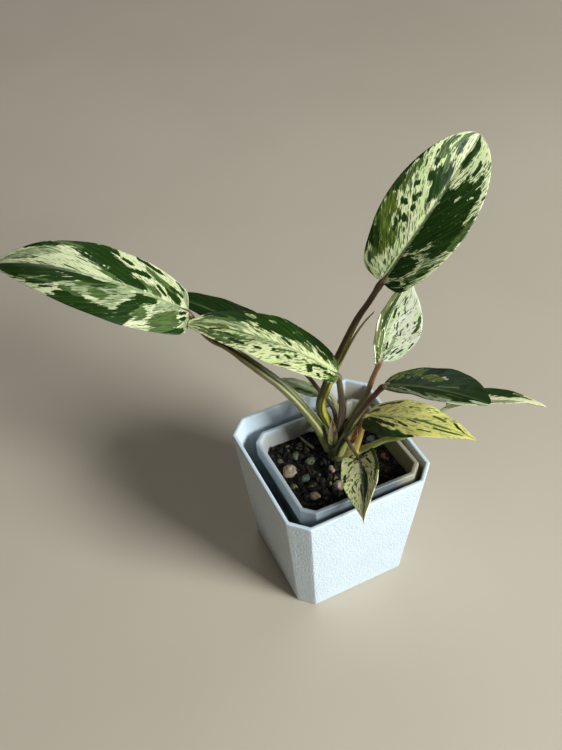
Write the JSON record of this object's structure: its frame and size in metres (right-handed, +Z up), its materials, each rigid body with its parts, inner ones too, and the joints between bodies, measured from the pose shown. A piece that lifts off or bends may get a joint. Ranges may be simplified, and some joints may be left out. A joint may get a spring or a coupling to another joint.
{
  "type": "potted philodendron",
  "caption": "Young variegated philodendron with cream-splashed leaves on long stalks, in a square grow pot that leans inside a white square cover pot.",
  "frame": {"origin": "centre of the cover pot's underside, where it rests", "axes": "+Z up out of the pot; the pot's four walls face -X, +X, -Y and +Y; the front of the plant is at -Y; the tallest leaf leans towards +X and the longest towards -X and +Y"},
  "size_m": [0.2239, 0.1519, 0.2271],
  "materials": {
    "cover_pot": "fine pebbled white outside, smooth inside",
    "grow_pot": "thin translucent grey, satin",
    "soil": "dark moist bark and peat mix",
    "pumice": "pale rough pumice",
    "gravel": "grey-green rough grit",
    "bark": "brown bark chip",
    "crown": "olive green living stem",
    "petiole_green": "smooth olive green stalk",
    "petiole_brown": "smooth red-brown stalk",
    "leaf": "semi-gloss green blade splashed with cream",
    "dry_scale": "dry papery orange-brown",
    "root": "pinkish brown root skin"
  },
  "bodies": {
    "root": {"cover_pot": "cover_pot", "grow_pot": "grow_pot", "potting_soil": "soil", "crown_stem": "crown", "petiole_01": "petiole_green", "petiole_02": "petiole_brown", "petiole_03": "petiole_brown", "petiole_04": "petiole_brown", "petiole_05": "petiole_green", "petiole_06": "petiole_brown", "petiole_07": "petiole_brown", "petiole_08": "petiole_green", "petiole_09": "petiole_green", "petiole_10": "petiole_brown", "leaf_01": "leaf", "leaf_02": "leaf", "leaf_03": "leaf", "leaf_04": "leaf", "leaf_05": "leaf", "leaf_06": "leaf", "leaf_07": "leaf", "leaf_08": "leaf", "leaf_09": "leaf", "leaf_10": "leaf", "cataphyll_dry": "dry_scale", "cataphyll_papery": "dry_scale", "root_nub": "root", "root_aerial": "root", "pumice_01": "pumice", "pumice_02": "pumice", "pumice_03": "pumice", "gravel_01": "gravel", "gravel_02": "gravel", "gravel_03": "gravel", "gravel_04": "gravel", "gravel_05": "gravel", "gravel_06": "gravel", "gravel_07": "gravel", "gravel_08": "gravel", "gravel_09": "gravel", "bark_01": "bark"}
  },
  "joints": []
}
